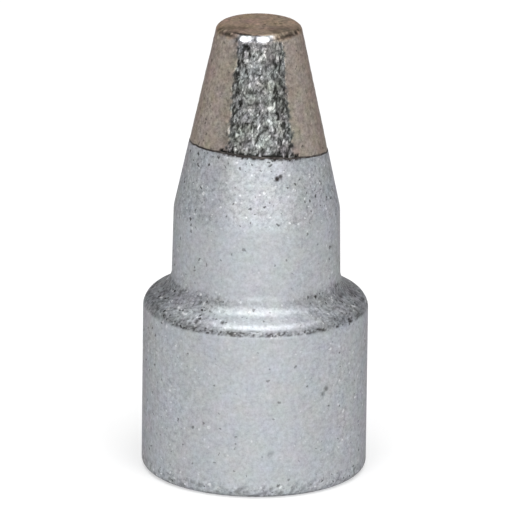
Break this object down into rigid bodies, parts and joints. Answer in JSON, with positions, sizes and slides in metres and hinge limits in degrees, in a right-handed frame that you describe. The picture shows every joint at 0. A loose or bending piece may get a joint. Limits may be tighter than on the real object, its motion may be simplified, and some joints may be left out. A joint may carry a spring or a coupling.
{
  "type": "desoldering tip",
  "caption": "Blunt conical desoldering tip with a tinned working end, a rounded shoulder and a round collar, hollow from its flat rear seat, for melting and lifting solder.",
  "frame": {"origin": "middle of the flat rear seat, on the axis", "axes": "+Z along the axis, from the rear seat to the working face; -Y is the side that faces the camera"},
  "size_m": [0.008, 0.008, 0.0163],
  "materials": {
    "plating": "matt grey plating with a fine grain, tinned above a slanting line on the cone"
  },
  "bodies": {
    "root": {"nozzle": "plating"}
  },
  "joints": []
}
